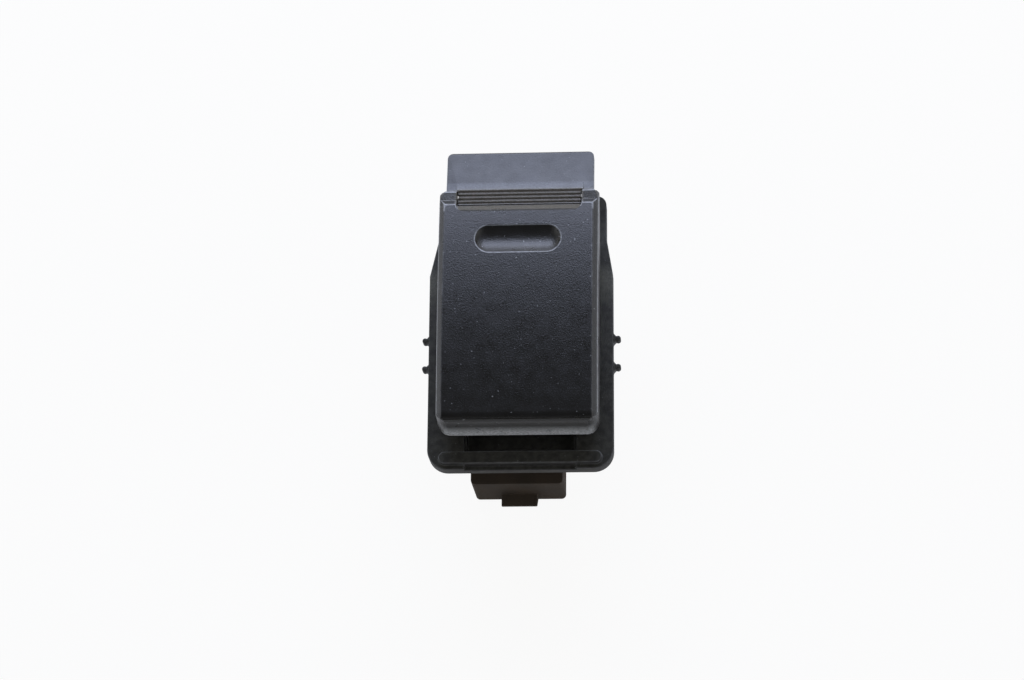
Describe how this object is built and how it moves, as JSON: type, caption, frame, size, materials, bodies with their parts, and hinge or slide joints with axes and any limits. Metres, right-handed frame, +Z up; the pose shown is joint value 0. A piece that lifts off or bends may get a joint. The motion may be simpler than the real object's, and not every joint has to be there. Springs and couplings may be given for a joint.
{
  "type": "power window switch",
  "caption": "Rocking key switch for a car window, with a finger lip, snap-in housing, sliding contacts and a connector socket below.",
  "frame": {"origin": "middle of the outline seen from above, on the plane of the connector rim that it stands on", "axes": "+Z up through the key, +Y towards the finger lip, +X to the right seen from the front edge"},
  "size_m": [0.0258, 0.0438, 0.0281],
  "materials": {
    "case_black": "moulded, fine satin",
    "base_black": "moulded, matt",
    "key_black": "satin face with fine grain",
    "lever_black": "satin",
    "contact_plate": "moulded insulator",
    "slider": "low-friction moulding",
    "terminal_metal": "tinned stamped strip",
    "wiper_bronze": "phosphor bronze spring strip",
    "rivet_silver": "silver contact metal",
    "spring_steel": "drawn wire"
  },
  "bodies": {
    "housing": {"upper_case": "case_black", "terminal_base": "base_black", "contact_plate": "contact_plate", "terminal_supply": "terminal_metal", "terminal_return_a": "terminal_metal", "terminal_motor_a": "terminal_metal", "terminal_motor_b": "terminal_metal", "terminal_return_b": "terminal_metal", "return_spring_front": "spring_steel", "return_spring_rear": "spring_steel"},
    "rocker": {"key_cap": "key_black", "rocker_lever": "lever_black"},
    "slider": {"contact_slider": "slider", "wiper_left": "wiper_bronze", "wiper_right": "wiper_bronze", "wiper_rivets_left": "rivet_silver", "wiper_rivets_right": "rivet_silver"}
  },
  "joints": [
    {"name": "key_rock", "type": "hinge", "parent": "housing", "child": "rocker", "pos_m": [0, -0.00278, 0.0215], "axis": [1, 0, 0], "range_deg": [-6, 6], "stiffness_Nm_per_rad": 0.1, "deforming": ["return_spring_front", "return_spring_rear"]},
    {"name": "contact_slide", "type": "slide", "parent": "housing", "child": "slider", "axis": [0, 1, 0], "range_m": [-0.0009, 0.0009]}
  ],
  "couplings": [
    {"joint": "contact_slide", "follows": "key_rock", "m_per_rad": 0.0085}
  ]
}
